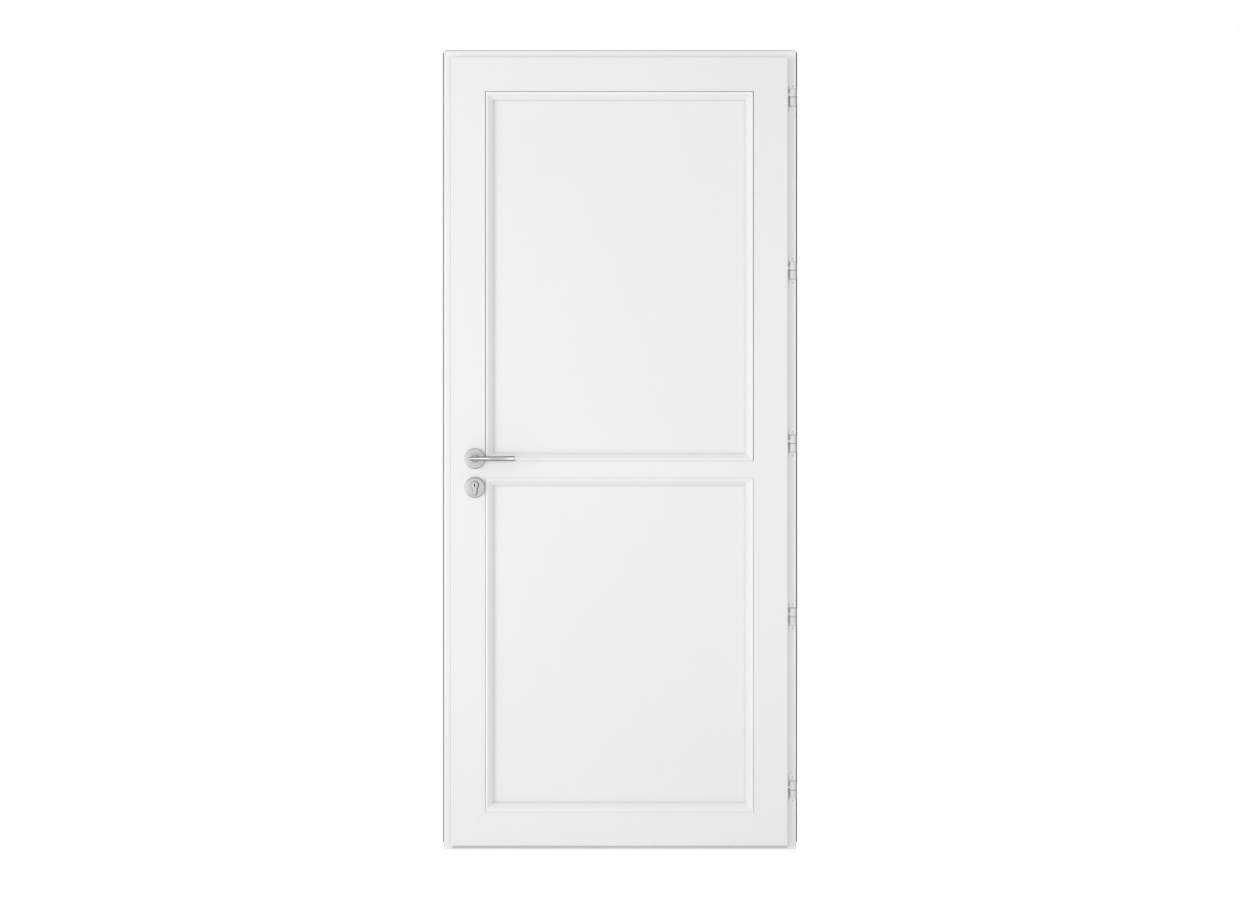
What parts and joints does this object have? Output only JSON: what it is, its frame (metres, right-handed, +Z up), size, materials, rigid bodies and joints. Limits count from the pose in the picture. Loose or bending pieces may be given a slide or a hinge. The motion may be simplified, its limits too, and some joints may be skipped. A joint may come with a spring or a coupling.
{
  "type": "front door with frame",
  "caption": "White panelled front door leaf hung in its frame, with lever handles, a cylinder lock, knuckle hinges and a low threshold.",
  "frame": {"origin": "on the floor, under the middle of the frame's width and of its depth", "axes": "+X from the lock side to the hinge side, +Y from the room to the outside, +Z up"},
  "size_m": [0.886, 0.187, 2],
  "materials": {
    "white_pvc": "satin",
    "panel_skin": "satin",
    "sill_aluminium": "anodised",
    "seal_rubber": "matte",
    "hinge_white": "satin",
    "satin_steel": "satin",
    "plated_steel": "satin",
    "nickel_brass": "nickel plated",
    "inner_plastic": "matte"
  },
  "bodies": {
    "frame": {"lock_jamb": "white_pvc", "hinge_jamb": "white_pvc", "frame_head": "white_pvc", "threshold": "sill_aluminium", "frame_seal": "seal_rubber", "strike_plate": "plated_steel", "strike_screws": "plated_steel", "hinge_pins": "plated_steel", "hinge_washers": "inner_plastic", "hinge_screws": "plated_steel", "hinge_1_plate": "hinge_white", "hinge_2_plate": "hinge_white", "hinge_3_plate": "hinge_white", "hinge_4_plate": "hinge_white", "hinge_5_plate": "hinge_white"},
    "leaf": {"lock_stile": "white_pvc", "hinge_stile": "white_pvc", "top_rail": "white_pvc", "bottom_rail": "white_pvc", "middle_rail": "white_pvc", "leaf_seal": "seal_rubber", "setting_blocks": "inner_plastic", "lock_faceplate": "plated_steel", "faceplate_screws": "plated_steel", "lock_case": "plated_steel", "cylinder_body": "nickel_brass", "cylinder_screw": "plated_steel", "room_lever_rose": "satin_steel", "street_lever_rose": "satin_steel", "room_lever_base": "inner_plastic", "street_lever_base": "inner_plastic", "room_key_rose": "satin_steel", "street_key_rose": "satin_steel", "rose_screws": "plated_steel", "upper_panel": "panel_skin", "lower_panel": "panel_skin", "upper_panel_seal": "seal_rubber", "lower_panel_seal": "seal_rubber", "upper_lock_bead": "white_pvc", "upper_top_bead": "white_pvc", "upper_hinge_bead": "white_pvc", "upper_bottom_bead": "white_pvc", "lower_lock_bead": "white_pvc", "lower_top_bead": "white_pvc", "lower_hinge_bead": "white_pvc", "lower_bottom_bead": "white_pvc", "hinge_1_knuckle": "hinge_white", "hinge_2_knuckle": "hinge_white", "hinge_3_knuckle": "hinge_white", "hinge_4_knuckle": "hinge_white", "hinge_5_knuckle": "hinge_white"},
    "handle": {"room_lever": "satin_steel", "street_lever": "satin_steel", "spindle": "plated_steel", "lock_follower": "plated_steel"},
    "latch": {"latch_bolt": "plated_steel"},
    "bolt": {"deadbolt": "plated_steel"},
    "room_key": {"room_plug": "nickel_brass", "cylinder_cam": "nickel_brass"},
    "street_key": {"street_plug": "nickel_brass"}
  },
  "joints": [
    {"name": "leaf_swing", "type": "hinge", "parent": "frame", "child": "leaf", "pos_m": [0.4315, -0.0467, 1], "axis": [0, 0, 1], "range_deg": [0, 110]},
    {"name": "lever_turn", "type": "hinge", "parent": "leaf", "child": "handle", "pos_m": [-0.361, -0.018, 0.979], "axis": [0, 1, 0], "range_deg": [0, 40], "stiffness_Nm_per_rad": 1.5, "springref_deg": -22.92},
    {"name": "latch_slide", "type": "slide", "parent": "leaf", "child": "latch", "axis": [1, 0, 0], "range_m": [0, 0.014]},
    {"name": "room_key_turn", "type": "hinge", "parent": "leaf", "child": "room_key", "pos_m": [-0.361, -0.018, 0.913], "axis": [0, 1, 0], "range_deg": [0, 360]},
    {"name": "bolt_slide", "type": "slide", "parent": "leaf", "child": "bolt", "axis": [-1, 0, 0], "range_m": [0, 0.02]},
    {"name": "street_key_turn", "type": "hinge", "parent": "leaf", "child": "street_key", "pos_m": [-0.361, -0.018, 0.913], "axis": [0, 1, 0], "range_deg": [0, 360]}
  ],
  "couplings": [
    {"joint": "latch_slide", "follows": "lever_turn", "m_per_rad": 0.02005},
    {"joint": "room_key_turn", "follows": "bolt_slide", "rad_per_m": 314.15}
  ]
}
